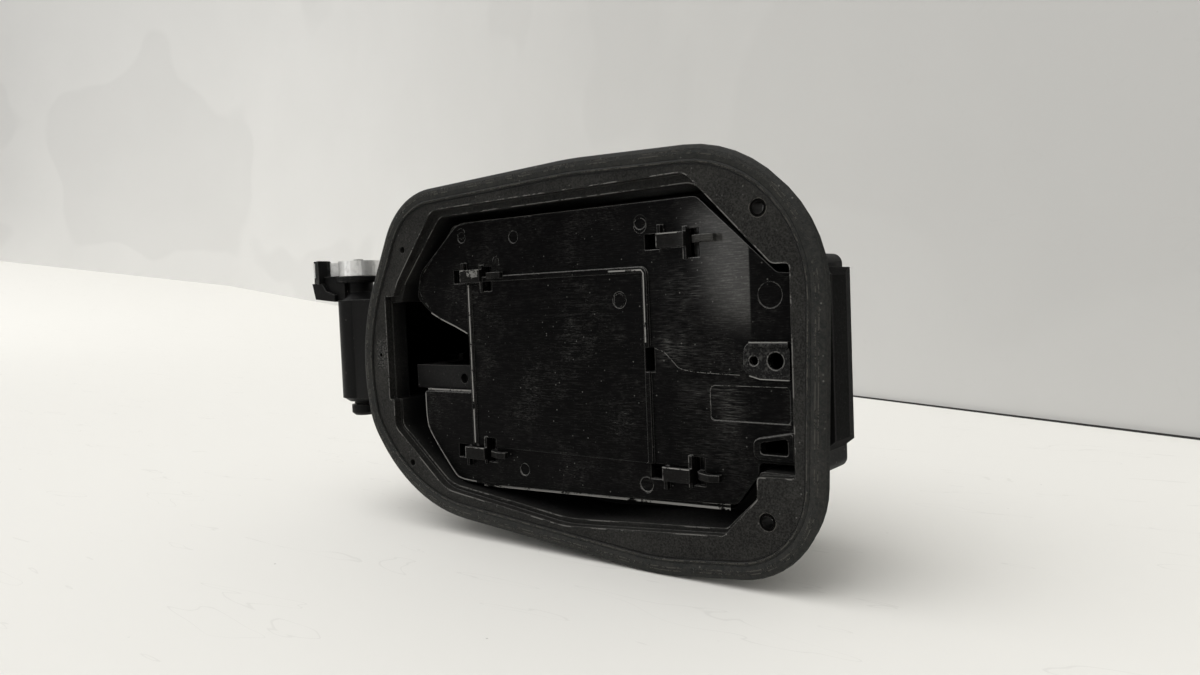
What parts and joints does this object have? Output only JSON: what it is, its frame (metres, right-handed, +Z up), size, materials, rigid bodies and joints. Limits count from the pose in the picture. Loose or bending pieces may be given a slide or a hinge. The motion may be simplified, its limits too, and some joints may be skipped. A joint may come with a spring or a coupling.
{
  "type": "fuel door module",
  "caption": "Car fuel door module: moulded pot with a rim seal, gooseneck flap carrier on a sprung hinge, and a push latch",
  "frame": {"origin": "centre of the filler neck's bore, halfway through the floor of the pot", "axes": "+X to the latch side, +Y into the car along the filler neck, +Z up; the flap faces -Y"},
  "size_m": [0.2896, 0.0832, 0.1591],
  "materials": {
    "pot_plastic": "black moulded polypropylene, satin",
    "well_plastic": "black moulded polypropylene, satin, one moulding with pot_housing",
    "floor_plastic": "black moulded polypropylene, satin, one moulding with pot_housing",
    "pocket_plastic": "black moulded polypropylene, satin, one moulding with pot_housing",
    "rim_rubber": "dark grey moulded elastomer, matt",
    "grommet_rubber": "black rubber, matt",
    "insert_steel": "darkened steel sleeve",
    "seat_plastic": "black moulded plastic",
    "spring_steel": "bright satin spring strip",
    "stop_rubber": "black rubber",
    "gasket_foam": "black cellular foam",
    "latch_plastic": "black glass-filled plastic",
    "cover_plastic": "black glass-filled plastic",
    "pin_tin": "tinned contact",
    "screw_steel": "zinc plated steel",
    "lip_rubber": "black rubber",
    "door_plastic": "black glass-filled polyester, semi-gloss, scuffed",
    "arm_plastic": "black glass-filled polyester, semi-gloss",
    "box_plastic": "black acetal",
    "striker_steel": "black coated sheet steel",
    "pin_steel": "drawn steel",
    "cap_plastic": "black moulded plastic",
    "plunger_plastic": "natural acetal",
    "head_steel": "zinc plated steel",
    "coil_steel": "spring wire"
  },
  "bodies": {
    "housing": {"pot_housing": "pot_plastic", "pot_well": "well_plastic", "pot_floor": "floor_plastic", "hinge_pocket": "pocket_plastic", "rim_seal": "rim_rubber", "neck_grommet": "grommet_rubber", "screw_inserts": "insert_steel", "spring_seat": "seat_plastic", "hinge_spring": "spring_steel", "bump_stops": "stop_rubber", "latch_gasket": "gasket_foam", "latch_body": "latch_plastic", "latch_cover": "cover_plastic", "connector_pins": "pin_tin", "latch_screws": "screw_steel", "latch_seal": "lip_rubber", "latch_spring": "coil_steel"},
    "door": {"door_carrier": "door_plastic", "hinge_arm": "arm_plastic", "striker_box": "box_plastic", "striker_plate": "striker_steel", "hinge_pin": "pin_steel", "pin_cap": "cap_plastic"},
    "plunger": {"latch_plunger": "plunger_plastic"},
    "head": {"latch_head": "head_steel"}
  },
  "joints": [
    {"name": "door_hinge", "type": "hinge", "parent": "housing", "child": "door", "pos_m": [-0.152, -0.0571, 0], "axis": [0, 0, -1], "range_deg": [0, 80], "deforming": ["hinge_spring"]},
    {"name": "plunger_slide", "type": "slide", "parent": "housing", "child": "plunger", "axis": [0, 1, 0], "range_m": [-0.006, 0.002], "deforming": ["latch_spring"]},
    {"name": "head_turn", "type": "hinge", "parent": "plunger", "child": "head", "pos_m": [0.0908, -0.0571, 0.0021], "axis": [0, 1, 0], "range_deg": [0, 90]}
  ]
}
